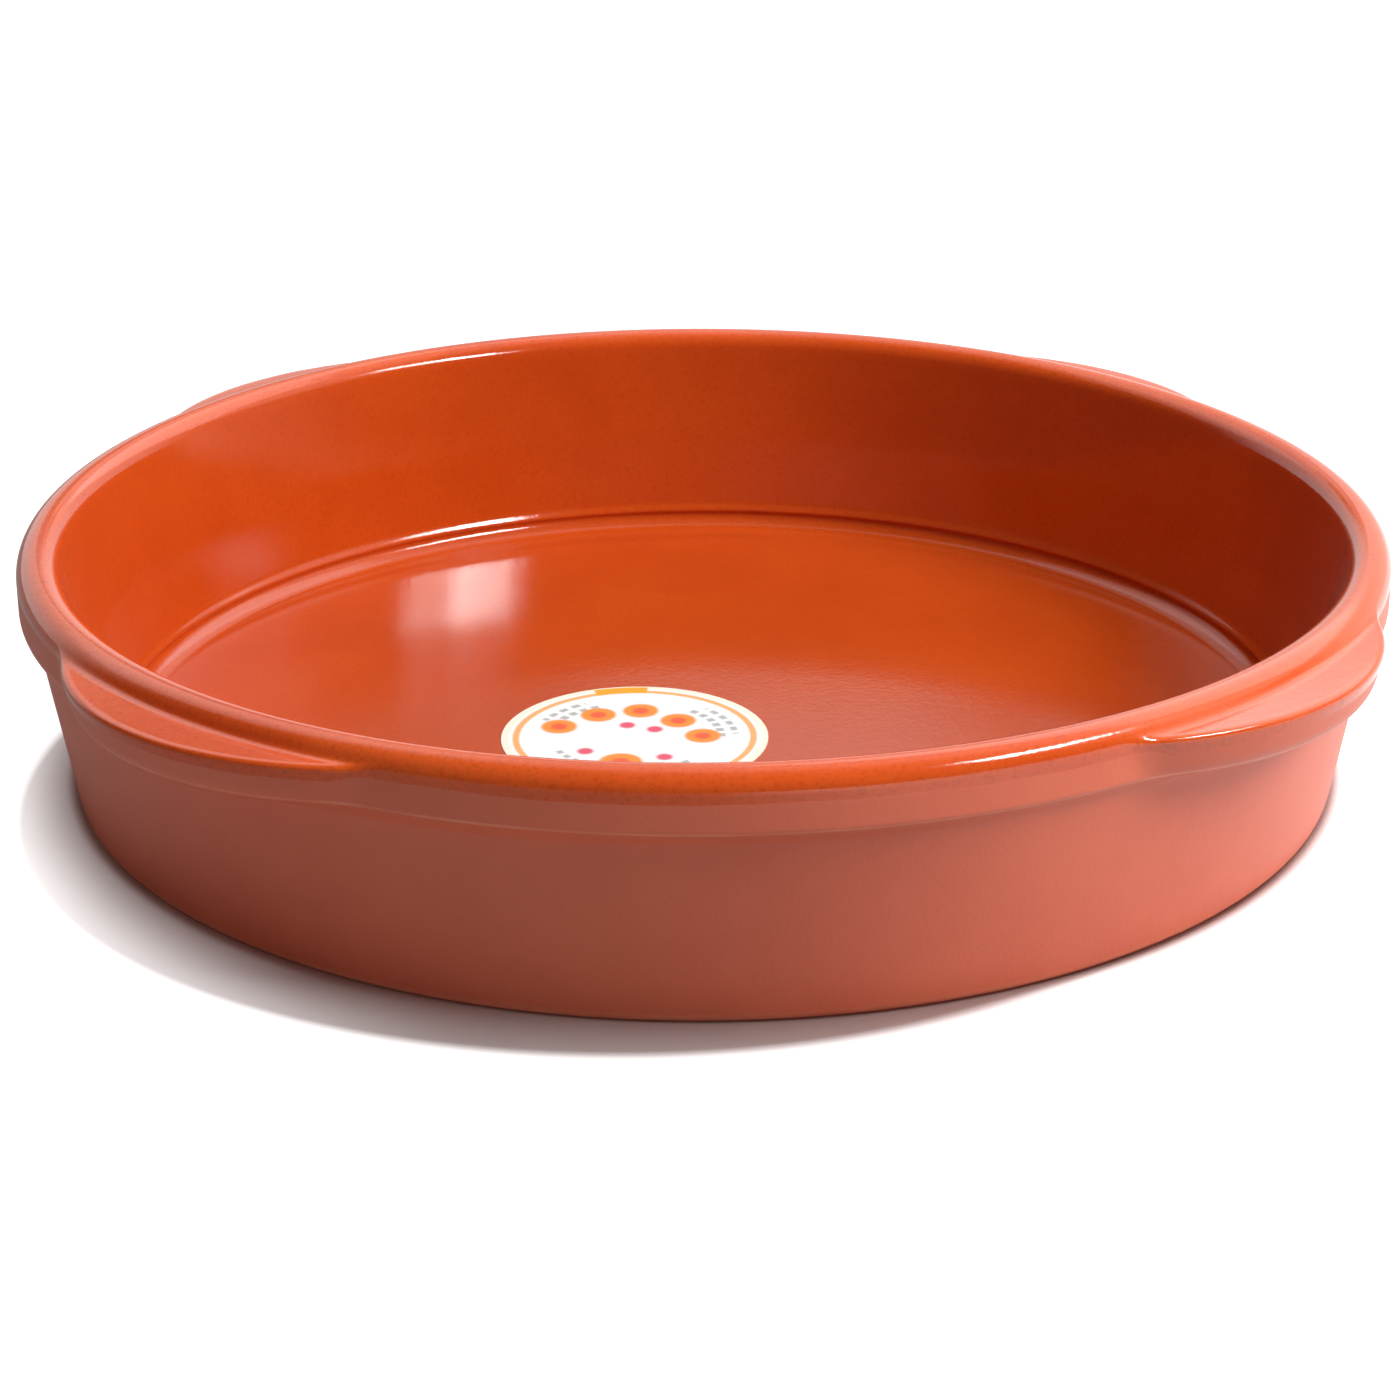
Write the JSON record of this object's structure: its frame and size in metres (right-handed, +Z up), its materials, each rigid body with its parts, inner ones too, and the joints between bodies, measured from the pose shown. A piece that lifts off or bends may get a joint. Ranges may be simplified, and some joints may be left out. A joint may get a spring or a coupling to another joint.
{
  "type": "cazuela",
  "caption": "Round shallow earthenware cooking and serving dish, glazed inside, with ledge lugs under a stepped rim and a round paper label on its floor.",
  "frame": {"origin": "centre of the flat base, on the table", "axes": "+Z up through the middle of the dish; the lugs point along the diagonals between X and Y, and the label lies on the -X -Y side of the floor"},
  "size_m": [0.32, 0.32, 0.059],
  "materials": {
    "clay": "clear glaze over red clay inside and over the rim, bare satin clay outside",
    "label": "printed satin paper"
  },
  "bodies": {
    "root": {"dish": "clay", "label": "label"}
  },
  "joints": []
}
